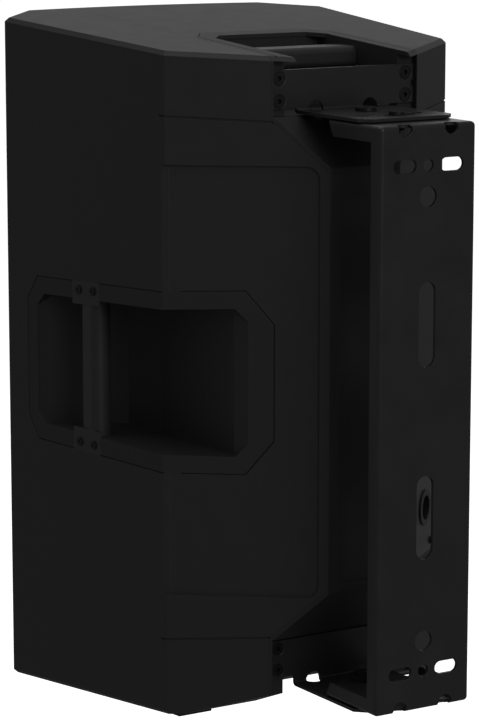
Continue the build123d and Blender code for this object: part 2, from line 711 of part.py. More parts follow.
def shell_panels(shell):
    """The shell as its flat panels, which touch each other, so that each one has a simple shape."""
    inner = across(profile_points(WALL), -FAR, FAR)
    caps = shell - inner
    walls = shell & inner
    flat = REAR_FLAT / 2
    zones = [
        block(0, FAR, -FAR, SIDE_REAR_Y, -FAR, FAR),
        block(-FAR, 0, -FAR, SIDE_REAR_Y, -FAR, FAR),
        block(flat, FAR, SIDE_REAR_Y, FAR, -FAR, FAR),
        block(-FAR, -flat, SIDE_REAR_Y, FAR, -FAR, FAR),
        block(-flat, flat, SIDE_REAR_Y, FAR, -FAR, FAR),
    ]
    edge = POCKET_WIDTH / 2 + LINER_SIDE
    thirds = []
    for x0, x1 in ((-FAR, -edge), (-edge, edge), (edge, FAR)):
        thirds += [block(x0, x1, -FAR, FAR, 0, FAR), block(x0, x1, -FAR, FAR, -FAR, 0)]
    return [caps & third for third in thirds] + [walls & zone for zone in zones]


# ---------------------------------------------------------------- front moulding, grille, foam
def front_prism(inset):
    """The space inside the front outline, moved in by inset, ahead of the baffle."""
    body = extrude(Plane.XY.offset(-FAR) * plan_face(inset), amount=2 * FAR)
    return body & block(-FAR, FAR, -FAR, BAFFLE_Y, -FAR, FAR)


def bow_y(x):
    """Depth of the bowed front at x."""
    half = FRONT_FLAT / 2
    radius = (half ** 2 + FRONT_BOW ** 2) / (2 * FRONT_BOW)
    return radius - FRONT_BOW - math.sqrt(radius ** 2 - x ** 2)


def grille_screw_places():
    drop = HALF_HEIGHT - GRILLE_SCREW_Z
    return [(s * GRILLE_SCREW_X, t * (HALF_HEIGHT - drop)) for s in (1, -1) for t in (1, -1)]


def horn_screw_places():
    half_w, half_h = HORN_FLANGE[0] / 2 - 9, HORN_FLANGE[1] / 2 - 9
    return [(s * half_w, HORN_Z + t * half_h) for s in (1, -1) for t in (1, -1)]


def woofer_screw_places():
    return [(x, WOOFER_Z + z) for x, z in on_circle(WOOFER_SCREWS, WOOFER_SCREW_CIRCLE, 180 / WOOFER_SCREWS)]


def front_moulding():
    body = OUTER & AHEAD
    body -= block(-FAR, FAR, -FAR, BAFFLE_Y, -GRILLE_TOP, GRILLE_TOP)
    posts = Compound(children=[rod_y(POST_RADIUS, -20, BAFFLE_Y, x, z) for x, z in grille_screw_places()])
    body = body + (posts & front_prism(GRILLE_INSET + GRILLE_SHEET))
    body -= rod_y(WOOFER_RADIUS + GRILLE_GAP, BAFFLE_Y - 1, SEAT_Y, 0, WOOFER_Z)
    body -= rod_y(WOOFER_CUTOUT, 0, FAR, 0, WOOFER_Z)
    width, height = HORN_FLANGE
    body -= Pos(0, SEAT_Y, HORN_Z) * Box(width + 1, 2 * WOOFER_SEAT, height + 1)
    body -= Pos(0, SEAT_Y, HORN_Z) * Box(width - 26, 60, height - 26)
    for x in (PORT_X, -PORT_X):
        body -= rod_y(PORT_RADIUS + PORT_WALL, BAFFLE_Y - 1, FAR, x, PORT_Z)
    for x, z in boss_places():
        body -= rod_y(BAFFLE_SCREW_RADIUS, BAFFLE_Y - 1, FAR, x, z)
    for x, z in grille_screw_places():
        body -= rod_y(GRILLE_SCREW_RADIUS, -20, 6, x, z)
    for x, z in woofer_screw_places() + horn_screw_places():
        body -= rod_y(BAFFLE_SCREW_RADIUS, 0, SEAT_Y + 7, x, z)
    return body


def grille():
    high = GRILLE_TOP - GRILLE_GAP
    sheet = (front_prism(GRILLE_INSET) - front_prism(GRILLE_INSET + GRILLE_SHEET)) & block(
        -FAR, FAR, -FAR, FAR, -high, high)
    for x, z in grille_screw_places():
        sheet -= rod_y(GRILLE_SCREW_RADIUS, -20, 6, x, z)
    return sheet


def grille_foam():
    high = GRILLE_TOP - 2 * GRILLE_GAP
    near = GRILLE_INSET + GRILLE_SHEET
    foam = (front_prism(near) - front_prism(near + FOAM_THICKNESS)) & block(
        -FAR, FAR, -FAR, BAFFLE_Y - 1, -high, high)
    foam -= rod_y(WOOFER_RADIUS + 3, BAFFLE_Y - 12, BAFFLE_Y, 0, WOOFER_Z)
    for x, z in grille_screw_places():
        foam -= rod_y(POST_RADIUS, -20, BAFFLE_Y, x, z)
    return foam


def screw_y(radius, head_radius, head_height, y_seat, length, x, z):
    """Pan-head screw along Y, its head on the seat's front."""
    head = rod_y(head_radius, y_seat - head_height, y_seat, x, z)
    return head + rod_y(radius, y_seat, y_seat + length, x, z)


# ---------------------------------------------------------------- woofer
def woofer():
    rim_front = SEAT_Y - WOOFER_RIM
    rear = rim_front + WOOFER_DEPTH
    hole = COIL_RADIUS + COIL_WALL / 2 + COIL_CLEARANCE
    inner = WOOFER_CUTOUT - 1
    frame = turned([
        (inner - BASKET_SHEET, rim_front), (WOOFER_RADIUS, rim_front), (WOOFER_RADIUS, SEAT_Y), (inner, SEAT_Y),
        (BASKET_REAR_RADIUS, rear - BASKET_SHEET), (BASKET_REAR_RADIUS, rear), (hole, rear),
        (hole, rear - BASKET_SHEET), (BASKET_REAR_RADIUS - BASKET_SHEET, rear - 2 * BASKET_SHEET),
        (inner - BASKET_SHEET, SEAT_Y),
    ], WOOFER_Z)
    for i in range(BASKET_SPOKES):
        window = Pos(0, 0, WOOFER_Z) * Rot(0, 360 / BASKET_SPOKES * i, 0) * block(
            BASKET_REAR_RADIUS + 4, WOOFER_CUTOUT - 8, SEAT_Y + 10, rear + 5, -34, 34)
        frame -= window
    for x, z in woofer_screw_places():
        frame -= rod_y(BAFFLE_SCREW_RADIUS, 0, FAR, x, z)
    add("woofer_frame", frame)

    plate_end = rear + PLATE_THICKNESS
    magnet_end = plate_end + MAGNET_THICKNESS
    back_end = magnet_end + PLATE_THICKNESS
    pole = COIL_RADIUS - COIL_WALL / 2 - COIL_CLEARANCE
    add("woofer_top_plate", tube_y(PLATE_RADIUS, hole, rear, plate_end, 0, WOOFER_Z))
    add("woofer_magnet", tube_y(MAGNET_RADIUS, hole + 6, plate_end, magnet_end, 0, WOOFER_Z))
    back = rod_y(PLATE_RADIUS, magnet_end, back_end, 0, WOOFER_Z) + rod_y(pole, rear, magnet_end, 0, WOOFER_Z)
    back -= rod_y(pole * 0.35, rear - 1, back_end + 1, 0, WOOFER_Z)
    add("woofer_back_plate", back)
    add("woofer_gasket", tube_y(WOOFER_SCREW_CIRCLE - 6, WOOFER_CUTOUT - 4, rim_front - 1.5, rim_front, 0, WOOFER_Z))
    add("woofer_screws", *[
        screw_y(BAFFLE_SCREW_RADIUS, 4.2, 2.4, rim_front, WOOFER_RIM + 6, x, z) for x, z in woofer_screw_places()])

    former_front = rear - 22
    former_end = magnet_end - CONE_TRAVEL - 4
    coil_in, coil_out = COIL_RADIUS - COIL_WALL / 2, COIL_RADIUS + COIL_WALL / 2
    add("voice_coil", tube_y(coil_out, coil_in, former_front, former_end, 0, WOOFER_Z))
    cone_front = rim_front + 10
    cone_radius = CONE_RADIUS - MOVING_CLEARANCE
    cone = turned([
        (coil_out, former_front + 4), (cone_radius, cone_front), (cone_radius, cone_front + CONE_WALL),
        (coil_out, former_front + 4 + CONE_WALL),
    ], WOOFER_Z)
    add("woofer_cone", cone)
    cap_radius = COIL_RADIUS * 1.25
    slope = (former_front + 4 - cone_front) / (cone_radius - coil_out)
    cap_y = former_front + 4 - (cap_radius - coil_out) * slope
    crown = 15.0
    outer_arc = ThreePointArc((0, cap_y - crown), (cap_radius * 0.52, cap_y - crown * 0.74), (cap_radius, cap_y))
    inner_arc = ThreePointArc(
        (0, cap_y - crown + CONE_WALL), (cap_radius * 0.52 - 0.4, cap_y - crown * 0.74 + CONE_WALL),
        (cap_radius - CONE_WALL * 1.6, cap_y))
    cap = make_face([
        outer_arc, Line((cap_radius, cap_y), (cap_radius - CONE_WALL * 1.6, cap_y)), inner_arc,
        Line((0, cap_y - crown + CONE_WALL), (0, cap_y - crown))])
    add("dust_cap", Pos(0, 0, WOOFER_Z) * revolve(cap, Axis.Y))

    roll_out = WOOFER_CUTOUT - 4
    roll_mid = (CONE_RADIUS + roll_out) / 2
    roll = (roll_out - CONE_RADIUS) / 2
    roll_y = SEAT_Y
    roll_face = Pos(roll_mid, roll_y) * (Circle(roll) - Circle(roll - 1.2) - Pos(0, roll) * Rectangle(
        2 * roll, 2 * roll))
    lip = Pos(roll_out - 0.6, (rim_front + roll_y) / 2) * Rectangle(1.2, roll_y - rim_front)
    add("surround", Pos(0, 0, WOOFER_Z) * revolve(roll_face + lip, Axis.Y))
    spider_y = rear - 8.4
    waves = 4
    ring_in = coil_out + MOVING_CLEARANCE
    ring_out = BASKET_REAR_RADIUS - 0.5
    step = (ring_out - ring_in) / (2 * waves)
    crest = [(ring_in + i * step, spider_y + (1.6 if i % 2 else -1.6)) for i in range(2 * waves + 1)]
    add("spider", turned(crest + [(r, y + 0.8) for r, y in reversed(crest)], WOOFER_Z))


# ---------------------------------------------------------------- horn and compression driver
def horn_section(y, width, height, radius):
    face = Plane.XZ.offset(-y) * RectangleRounded(width, height, radius)
    return Pos(0, 0, HORN_Z) * face


def horn_loft(grow):
    """The horn's flare, its inside or, grown by the wall, its outside."""
    front = SEAT_Y - WOOFER_RIM
    rear = front + HORN_LENGTH
    (width, height), throat = HORN_MOUTH, THROAT_RADIUS + grow
    return loft([
        horn_section(front, width + 2 * grow, height + 2 * grow, 24 + grow),
        horn_section(front + HORN_LENGTH * 0.42, width * 0.5 + 2 * grow, height * 0.44 + 2 * grow, 20 + grow),
        horn_section(rear, 2 * throat, 2 * throat, throat * 0.97),
    ], ruled=True)


def horn_and_driver():
    front = SEAT_Y - WOOFER_RIM
    throat_y = front + HORN_LENGTH
    width, height = HORN_FLANGE
    flange = Pos(0, (front + SEAT_Y) / 2, HORN_Z) * Box(width, WOOFER_RIM, height)
    collar = rod_y(DRIVER_RADIUS - 8, throat_y - 8, throat_y, 0, HORN_Z)
    horn = flange + horn_loft(HORN_WALL) + collar - horn_loft(0)
    horn -= rod_y(THROAT_RADIUS * 0.9, throat_y - 10, throat_y + 1, 0, HORN_Z)
    for x, z in horn_screw_places():
        horn -= rod_y(BAFFLE_SCREW_RADIUS, 0, FAR, x, z)
    add("horn", horn)
    add("horn_screws", *[
        screw_y(BAFFLE_SCREW_RADIUS, 4.2, 2.4, front, WOOFER_RIM + 6, x, z) for x, z in horn_screw_places()])

    plate_end = throat_y + DRIVER_FRONT
    magnet_end = plate_end + DRIVER_MAGNET
    back_end = magnet_end + 6
    coil = DIAPHRAGM_RADIUS
    add("driver_front_plate", tube_y(DRIVER_RADIUS - 4, THROAT_RADIUS, throat_y, plate_end, 0, HORN_Z))
    add("driver_magnet", tube_y(DRIVER_RADIUS, coil + 8, plate_end, magnet_end, 0, HORN_Z))
    pole = tube_y(coil - 1.5, THROAT_RADIUS, plate_end, back_end - 6, 0, HORN_Z)
    add("driver_pole", pole)
    add("driver_top_plate", tube_y(DRIVER_RADIUS - 4, coil + 1.5, magnet_end, back_end, 0, HORN_Z))
    plug = turned([(0, plate_end + 2), (5, plate_end + 2), (THROAT_RADIUS - 2, magnet_end), (0, magnet_end)], HORN_Z)
    fins = block(-THROAT_RADIUS, THROAT_RADIUS, magnet_end - 4, magnet_end, HORN_Z - 1, HORN_Z + 1)
    add("phase_plug", plug + (fins & rod_y(THROAT_RADIUS, plate_end, magnet_end, 0, HORN_Z)))
    cover_end = back_end + DRIVER_COVER
    cover = rod_y(DRIVER_RADIUS - 6, back_end, cover_end, 0, HORN_Z)
    cover -= rod_y(DRIVER_RADIUS - 10, back_end - 1, cover_end - 4, 0, HORN_Z)
    add("driver_cover", cover)
    gap = DIAPHRAGM_TRAVEL + 0.5
    dome_y = back_end + gap
    crest = [(coil * math.cos(math.radians(a)), dome_y + 9 * math.sin(math.radians(a))) for a in range(15, 91, 15)]
    ring = [(coil + 0.4, dome_y), (coil + 6, dome_y), (coil + 6, dome_y + 0.6), (coil, dome_y + 0.6)]
    hollow = [(r * 0.97, y - 0.6) for r, y in reversed(crest)]
    former = [(coil - 0.4, dome_y), (coil - 0.4, dome_y - 4), (coil + 0.4, dome_y - 4)]
    add("driver_diaphragm", turned(ring + crest + hollow + former, HORN_Z))


# ---------------------------------------------------------------- crossover, input plate, fittings
def crossover():
    board_z = -top_z(BOARD_Y) + BOARD_RISE
    width, depth = BOARD
    board = Pos(0, BOARD_Y, board_z) * Box(width, depth, BOARD_THICK)
    add("crossover_board", board)
    standoffs = []
    for s in (1, -1):
        for t in (1, -1):
            x, y = s * (width / 2 - 7), BOARD_Y + t * (depth / 2 - 7)
            standoffs.append(rod_z(4, -FAR, board_z - BOARD_THICK / 2, x, y) & envelope(WALL))
    add("crossover_standoffs", *standoffs)
    face = board_z + BOARD_THICK / 2
    coils = []
    for x, y, radius, height in ((-42, -18, 24, 22), (8, -20, 20, 18), (50, -24, 17, 16)):
        coils.append(rod_z(radius, face, face + height, x, BOARD_Y + y) - rod_z(
            radius * 0.4, face, face + height, x, BOARD_Y + y))
    add("crossover_coils", *coils)
    add("crossover_capacitors", *[
        rod_z(10, face, face + 34, x, BOARD_Y + 30) for x in (-50, -26, -2, 22)])
    add("crossover_resistors", *[
        block(x - 5, x + 5, BOARD_Y + 8, BOARD_Y + 44, face, face + 10) for x in (44, 60)])


def input_fittings():
    width, height = INPUT_PLATE
    base = input_frame(INPUT_PLATE_ALONG, INPUT_PLATE_Z)
    flat = extrude(RectangleRounded(width, height, 8), amount=INPUT_PLATE_THICK)
    plate = base * flat
    sockets = []
    screws = []
    for s in (1, -1):
        centre = base * Pos(s * SOCKET_PITCH / 2, 0, 0)
        plate -= centre * Cylinder(SOCKET_BODY, 4 * INPUT_PLATE_THICK)
        collar = Pos(0, 0, INPUT_PLATE_THICK + 0.75) * (Cylinder(SOCKET_BODY + 3, 1.5) - Cylinder(SOCKET_BORE, 1.5))
        barrel = Pos(0, 0, INPUT_PLATE_THICK - SOCKET_DEPTH / 2) * (
            Cylinder(SOCKET_BODY, SOCKET_DEPTH) - Pos(0, 0, 4) * Cylinder(SOCKET_BORE, SOCKET_DEPTH))
        sockets.append(centre * (collar + barrel))
        for t in (1, -1):
            place = base * Pos(s * (width / 2 - 8), t * (height / 2 - 8), 0)
            plate -= place * Cylinder(2, 4 * INPUT_PLATE_THICK)
            head = Pos(0, 0, INPUT_PLATE_THICK + 0.9) * (Cylinder(3.6, 1.8) - Pos(0, 0, 0.6) * Cylinder(1.4, 0.8))
            shank = Pos(0, 0, INPUT_PLATE_THICK / 2) * Cylinder(2, INPUT_PLATE_THICK)
            screws.append(place * (head + shank))
    add("input_plate", plate)
    add("input_sockets", *sockets)
    add("input_plate_screws", *screws)


def fittings():
    bottom = -top_z(POLE_Y)
    bore_top = bottom + POLE_DEPTH
    cup = rod_z(POLE_BORE + POLE_WALL, -FAR, bore_top + POLE_WALL, 0, POLE_Y) & OUTER
    add("pole_cup", cup - rod_z(POLE_BORE, -FAR, bore_top, 0, POLE_Y))
    feet = []
    for x, y in (FOOT_FRONT, FOOT_REAR):
        y0, y1 = y - FOOT[1] / 2, y + FOOT[1] / 2
        points = [(y0, -top_z(y0)), (y1, -top_z(y1)), (y1, -top_z(y1) - FOOT_THICK), (y0, -top_z(y0) - FOOT_THICK)]
        feet += both_sides(across(points, x - FOOT[0] / 2, x + FOOT[0] / 2))
    add("rubber_feet", *feet)
    layer = envelope(WALL) - envelope(WALL + DAMPING)
    pads = []
    for z0, z1 in ((HANDLE_TOP_REAR + 12, top_z(0) - 60), (20 - top_z(0) + 30, HANDLE_BOTTOM - 12)):
        zone = block(0, FAR, PARTING_Y + BOSS_LENGTH + 12, SIDE_REAR_Y - 20, z0, z1)
        pads += both_sides(layer & zone)
    add("damping_pads", *pads)


def ports():
    front, end = BAFFLE_Y, BAFFLE_Y + PORT_LENGTH
    pipes = []
    for x in (PORT_X, -PORT_X):
        pipe = tube_y(PORT_RADIUS + PORT_WALL, PORT_RADIUS, front, end, x, PORT_Z)
        pipes.append(pipe)
    add("port_tubes", *pipes)


def internal_wires():
    """Leads from the crossover to the woofer, the driver and the sockets."""
    board_z = -top_z(BOARD_Y) + BOARD_RISE + BOARD_THICK / 2
    rear_y = SEAT_Y - WOOFER_RIM + WOOFER_DEPTH + 2 * PLATE_THICKNESS + MAGNET_THICKNESS
    driver_y = SEAT_Y - WOOFER_RIM + HORN_LENGTH + DRIVER_FRONT + DRIVER_MAGNET + 6 + DRIVER_COVER
    runs = {
        "woofer_lead": [
            (60, BOARD_Y - 44, board_z), (60, BOARD_Y - 44, board_z + 50), (46, rear_y + 16, WOOFER_Z + 20),
            (46, rear_y, WOOFER_Z + 20)],
        "driver_lead": [
            (-66, BOARD_Y - 44, board_z), (-66, BOARD_Y - 44, board_z + 90), (-30, BOARD_Y - 20, -20),
            (-6, driver_y + 16, HORN_Z - 6), (-6, driver_y, HORN_Z - 6)],
    }
    for name, points in runs.items():
        bends = []
        for before, corner, after in zip(points, points[1:], points[2:]):
            first, second = Vector(corner) - Vector(before), Vector(after) - Vector(corner)
            turn = math.radians(first.get_angle(second))
            bends.append(0.45 * min(first.length, second.length) / math.tan(turn / 2))
        path = FilletPolyline(*points, radius=bends)
        start = Plane(origin=path @ 0, z_dir=path % 0)
        add(name, sweep(start * Circle(2.0), path=path))


# ---------------------------------------------------------------- steel brackets
def bend_hole(x, y, z):
    return rod_y(NOTCH_RADIUS, y - 3 * SHEET, y + 1, x, z) + rod_z(NOTCH_RADIUS, z - 2 * SHEET, z + SHEET, x, y)


def lock_slot(radius):
    """Curved slot for the lock bolt, as long as the pan travel needs."""
    reach = math.radians(PAN_LIMIT) + LOCK_SLOT_CLEARANCE / LOCK_CIRCLE

    def at(angle, circle):
        return (circle * math.sin(angle), PIVOT_Y + circle * math.cos(angle))

    inner, outer = LOCK_CIRCLE - radius, LOCK_CIRCLE + radius
    face = make_face([
        ThreePointArc(at(-reach, outer), at(0, outer), at(reach, outer)),
        Line(at(reach, outer), at(reach, inner)),
        ThreePointArc(at(reach, inner), at(0, inner), at(-reach, inner)),
        Line(at(-reach, inner), at(-reach, outer))])
    slot = extrude(Plane.XY.offset(-FAR) * face, amount=2 * FAR)
    for angle in (reach, -reach):
        slot += rod_z(radius, -FAR, FAR, *at(angle, LOCK_CIRCLE))
    return slot


def speaker_bracket(plate_z, flange_top):
    """Plate screwed into a pocket, bent at its lower edge into a flange towards the wall."""
    low, high = plate_z - PLATE_HEIGHT / 2, plate_z + PLATE_HEIGHT / 2
    half, flange_half = PLATE_WIDTH / 2, FLANGE_WIDTH / 2
    front = PLATE_FACE_Y - SHEET
    flange_low = flange_top - SHEET
    end = PLATE_FACE_Y + FLANGE_LENGTH
    plate = block(-half, half, front, PLATE_FACE_Y, low + 0.5, high)
    web = block(-flange_half, flange_half, front, PLATE_FACE_Y, flange_low, low + 1)
    flange = upright([
        (-flange_half, front), (flange_half, front), (flange_half, end - FLANGE_CORNER),
        (flange_half - FLANGE_CORNER, end), (FLANGE_CORNER - flange_half, end),
        (-flange_half, end - FLANGE_CORNER)], flange_low, flange_top)
    body = plate + web + flange
    outer = body.edges().filter_by(Axis.X).filter_by(
        lambda e: abs(e.center().Y - front) < 0.01 and abs(e.center().Z - flange_low) < 0.01)
    body = fillet(outer, SHEET + 1)
    inner = body.edges().filter_by(Axis.X).filter_by(
        lambda e: abs(e.center().Y - PLATE_FACE_Y) < 0.01 and abs(e.center().Z - flange_top) < 0.01)
    body = fillet(inner, 1.5)
    for s in (1, -1):
        body -= bend_hole(s * NOTCH_X, PLATE_FACE_Y, flange_top)
        depth, height = EDGE_NOTCH
        body -= block(s * half - depth, s * half + depth, front - 1, FAR, plate_z - height / 2, plate_z + height / 2)
    for x, z in plate_screw_places(plate_z):
        body -= rod_y(SCREW_RADIUS, front - 1, FAR, x, z)
        body -= countersink(x, z, SCREW_HEAD_GAP)
    body -= rod_z(PIVOT_RADIUS + PIVOT_CLEARANCE, -FAR, FAR, 0, PIVOT_Y)
    body -= lock_slot(LOCK_RADIUS + LOCK_SLOT_CLEARANCE)
    return body


def countersink(x, z, gap):
    depth = SCREW_HEAD_RADIUS - SCREW_RADIUS
    cone = Rot(-90, 0, 0) * Cone(SCREW_RADIUS, SCREW_HEAD_RADIUS + gap, depth)
    return Pos(x, PLATE_FACE_Y - depth / 2, z) * cone


def plate_screws_and_inserts():
    screws, inserts = [], []
    front = PLATE_FACE_Y - SHEET
    for plate_z in (UPPER_PLATE_Z, LOWER_PLATE_Z):
        for x, z in plate_screw_places(plate_z):
            socket = Pos(x, PLATE_FACE_Y - 1, z) * Rot(-90, 0, 0) * extrude(
                RegularPolygon(2.0, 6, major_radius=False), amount=2, both=True)
            shank = rod_y(SCREW_RADIUS, front - SCREW_LENGTH + 3, PLATE_FACE_Y - SHEET, x, z)
            screws.append(countersink(x, z, 0) + shank - socket)
            inserts.append(tube_y(INSERT_RADIUS, SCREW_RADIUS, front - SCREW_LENGTH, front, x, z))
    add("bracket_screws", *screws)
    add("threaded_inserts", *inserts)


def slot_y(length, width, x, z):
    shape = Plane.XZ.offset(-WALL_Y + 2 * SHEET) * Pos(x, z) * SlotOverall(length, width)
    return extrude(shape, amount=-4 * SHEET)


def wall_bracket():
    half = BRACKET_WIDTH / 2
    body = block(-half, half, ARM_END_Y, WALL_Y, ARM_BOTTOM, ARM_TOP)
    bends = body.edges().filter_by(lambda e: e.center().Y > ARM_END_Y + 1)
    body = fillet(bends, BRACKET_BEND)
    inside = block(-half + SHEET, half - SHEET, ARM_END_Y - 60, WALL_Y - SHEET, ARM_BOTTOM + SHEET, ARM_TOP - SHEET)
    inner_bends = inside.edges().filter_by(lambda e: e.center().Y > ARM_END_Y - 59)
    body -= fillet(inner_bends, BRACKET_BEND - SHEET)
    inner_top, inner_bottom = ARM_TOP - BRACKET_LIP, ARM_BOTTOM + BRACKET_LIP
    body -= block(-FAR, FAR, ARM_END_Y - 1, WALL_Y - BRACKET_LIP, inner_bottom, inner_top)
    for z_edge, z_lip in ((ARM_TOP - SHEET, inner_top - 1), (ARM_BOTTOM + SHEET, inner_bottom + 1)):
        body -= across([(ARM_END_Y - 1, z_edge), (ARM_END_Y, z_edge), (ARM_END_Y + ARM_END_SLANT, z_lip),
                        (ARM_END_Y - 1, z_lip)], -FAR, FAR)
    for z0 in (ARM_TOP - SHEET, ARM_BOTTOM):
        z1 = z0 + SHEET
        waist = NOSE_RADIUS * 0.9
        taper = upright([(-half, ARM_END_Y), (-half, ARM_END_Y + 1), (half, ARM_END_Y + 1), (half, ARM_END_Y),
                         (waist, PIVOT_Y - 8), (-waist, PIVOT_Y - 8)], z0, z1)
        body = body + taper + rod_z(NOSE_RADIUS, z0, z1, 0, PIVOT_Y)
    for s in (1, -1):
        for z, inwards in ((ARM_TOP, -1), (ARM_BOTTOM, 1)):
            centre = z + inwards * BEND_HOLE_DROP
            body -= rod_y(BEND_HOLE_RADIUS, WALL_Y - 2 * SHEET, WALL_Y + 1, s * BEND_HOLE_X, centre)
            body -= rod_z(BEND_HOLE_RADIUS, z - 2 * SHEET, z + 2 * SHEET, s * BEND_HOLE_X, WALL_Y - 1)
        row = PLATE_MID_Z + s * HOLE_ROW
        body -= rod_y(ROUND_HOLE, WALL_Y - 2 * SHEET, WALL_Y + 1, 0, row)
        for t in (1, -1):
            body -= slot_y(SIDE_SLOT[0], SIDE_SLOT[1], t * SIDE_SLOT_X, row)
        body -= rod_y(CABLE_HOLE, WALL_Y - 2 * SHEET, WALL_Y + 1, 0, PLATE_MID_Z + s * CABLE_HOLE_ROW)
        long_slot = Pos(0, WALL_Y, PLATE_MID_Z + s * LONG_SLOT_ROW) * Rot(90, 0, 0) * extrude(
            Rot(0, 0, 90) * SlotOverall(LONG_SLOT[1], LONG_SLOT[0]), amount=2 * SHEET, both=True)
        body -= long_slot
    body -= rod_z(PIVOT_RADIUS, -FAR, FAR, 0, PIVOT_Y)
    body -= rod_z(LOCK_RADIUS, -FAR, FAR, 0, PIVOT_Y + LOCK_CIRCLE)
    return body


def pan_hardware():
    """Bolts that join the flanges to the arms: a pivot and a lock bolt at each end."""
    bolts = {"pivot_bolts": [], "lock_bolts": []}
    nuts = {"pivot_nuts": [], "lock_nuts": []}
    washers = []
    kinds = (("pivot", PIVOT_Y, PIVOT_RADIUS, 19.0), ("lock", PIVOT_Y + LOCK_CIRCLE, LOCK_RADIUS, 13.0))
    for sign, flange_outer, arm_outer in ((1, UPPER_FLANGE_TOP, ARM_TOP), (-1, LOWER_FLANGE_TOP - SHEET, ARM_BOTTOM)):
        for kind, y, radius, flats in kinds:
            seat = flange_outer + sign * FACE_GAP
            head_end = seat + sign * HEAD_HEIGHT
            nut_seat = arm_outer - sign * SHEET
            nut_end = nut_seat - sign * NUT_HEIGHT
            tip = nut_end - sign * 3
            head = rod_z(flats * 0.52, min(seat, head_end), max(seat, head_end), 0, y)
            socket_end = head_end - sign * (HEAD_HEIGHT - 1)
            head -= hexagon_z(radius, min(socket_end, head_end), max(socket_end, head_end), 0, y)
            shank = rod_z(radius, min(tip, seat), max(tip, seat), 0, y)
            bolts[kind + "_bolts"].append(head + shank)
            nut = hexagon_z(flats, min(nut_seat, nut_end), max(nut_seat, nut_end), 0, y)
            nuts[kind + "_nuts"].append(nut - rod_z(radius, -FAR, FAR, 0, y))
        low, high = sorted((arm_outer, arm_outer + sign * WASHER))
        washers.append(rod_z(PIVOT_RADIUS * 2.4, low, high, 0, PIVOT_Y) - rod_z(PIVOT_RADIUS, low, high, 0, PIVOT_Y))
        washers.append(rod_z(LOCK_RADIUS * 2.2, low, high, 0, PIVOT_Y + LOCK_CIRCLE) - rod_z(
            LOCK_RADIUS, low, high, 0, PIVOT_Y + LOCK_CIRCLE))
    for name, solids in list(bolts.items()) + list(nuts.items()):
        add(name, *solids)
    add("pan_washers", *washers)


# ---------------------------------------------------------------- assembly
def build():
    add("cabinet_shell", *shell_panels(cabinet_shell()))
    add("front_moulding", front_moulding())
    add("grille", grille())
    add("grille_foam", grille_foam())
    add("grille_screws", *[
        screw_y(GRILLE_SCREW_RADIUS, 4.0, 1.8, bow_y(x) + GRILLE_INSET - 0.3, 6.0 - bow_y(x) - GRILLE_INSET, x, z)
        for x, z in grille_screw_places()])
    add("baffle_screws", *[
        screw_y(BAFFLE_SCREW_RADIUS, 4.5, 2.5, BAFFLE_Y, BAFFLE_SCREW_LENGTH, x, z) for x, z in boss_places()])
    woofer()
    horn_and_driver()
    ports()
    crossover()
    input_fittings()
    fittings()
    internal_wires()
    add("upper_pocket", pocket_liner(True))
    add("lower_pocket", pocket_liner(False))
    add("handle_bar", handle_bar())
    add("side_handle", side_handle_cup())
    add("side_grip", side_grip())
    add("side_grip_screws", *grip_screws())
    add("upper_bracket", speaker_bracket(UPPER_PLATE_Z, UPPER_FLANGE_TOP))
    add("lower_bracket", speaker_bracket(LOWER_PLATE_Z, LOWER_FLANGE_TOP))
    plate_screws_and_inserts()
    add("wall_bracket", wall_bracket())
    pan_hardware()


build()
os.makedirs("parts", exist_ok=True)
for name, shape in parts.items():
    export_step(shape.moved(Location((0, -WALL_Y, -PLATE_MID_Z))), f"parts/{name}.step")
    print(name, len(shape.solids()))
print("plate middle", PLATE_MID_Z, "arm span", ARM_TOP - ARM_BOTTOM)
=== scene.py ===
import json
import math

import bmesh
import bpy
from bpy.props import FloatProperty, FloatVectorProperty, PointerProperty
from bpy.types import Operator, Panel, PropertyGroup
from mathutils import Matrix, Vector


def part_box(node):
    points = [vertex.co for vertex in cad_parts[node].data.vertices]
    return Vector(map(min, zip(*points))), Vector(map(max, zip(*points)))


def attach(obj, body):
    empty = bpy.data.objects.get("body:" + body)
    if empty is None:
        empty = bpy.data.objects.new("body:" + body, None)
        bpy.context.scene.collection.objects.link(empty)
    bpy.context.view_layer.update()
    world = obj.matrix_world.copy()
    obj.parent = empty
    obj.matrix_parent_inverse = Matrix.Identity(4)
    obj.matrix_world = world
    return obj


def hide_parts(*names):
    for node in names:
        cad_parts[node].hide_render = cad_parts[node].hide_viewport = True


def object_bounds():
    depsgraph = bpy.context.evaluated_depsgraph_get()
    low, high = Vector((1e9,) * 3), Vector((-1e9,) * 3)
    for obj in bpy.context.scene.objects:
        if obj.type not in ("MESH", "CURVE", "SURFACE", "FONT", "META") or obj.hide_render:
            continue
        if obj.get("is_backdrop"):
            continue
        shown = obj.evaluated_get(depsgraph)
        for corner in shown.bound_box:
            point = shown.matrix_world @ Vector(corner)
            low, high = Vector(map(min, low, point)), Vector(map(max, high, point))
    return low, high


bl_info = {
    "name": "Wall-mounted loudspeaker",
    "version": (1, 0, 0),
    "blender": (4, 5, 0),
    "location": "View3D > Sidebar > Loudspeaker",
    "description": "Finishes a moulded loudspeaker on its panning wall bracket",
    "category": "Object",
}

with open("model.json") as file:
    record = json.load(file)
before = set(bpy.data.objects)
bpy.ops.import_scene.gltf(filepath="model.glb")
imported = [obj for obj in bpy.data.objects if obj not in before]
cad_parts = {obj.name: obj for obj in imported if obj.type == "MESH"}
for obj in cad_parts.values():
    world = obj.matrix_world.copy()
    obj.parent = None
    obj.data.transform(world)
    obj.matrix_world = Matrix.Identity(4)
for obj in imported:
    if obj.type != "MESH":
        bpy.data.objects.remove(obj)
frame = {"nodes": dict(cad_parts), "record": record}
CAD_LOW, CAD_HIGH = (list(corner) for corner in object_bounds())

MM = 0.001

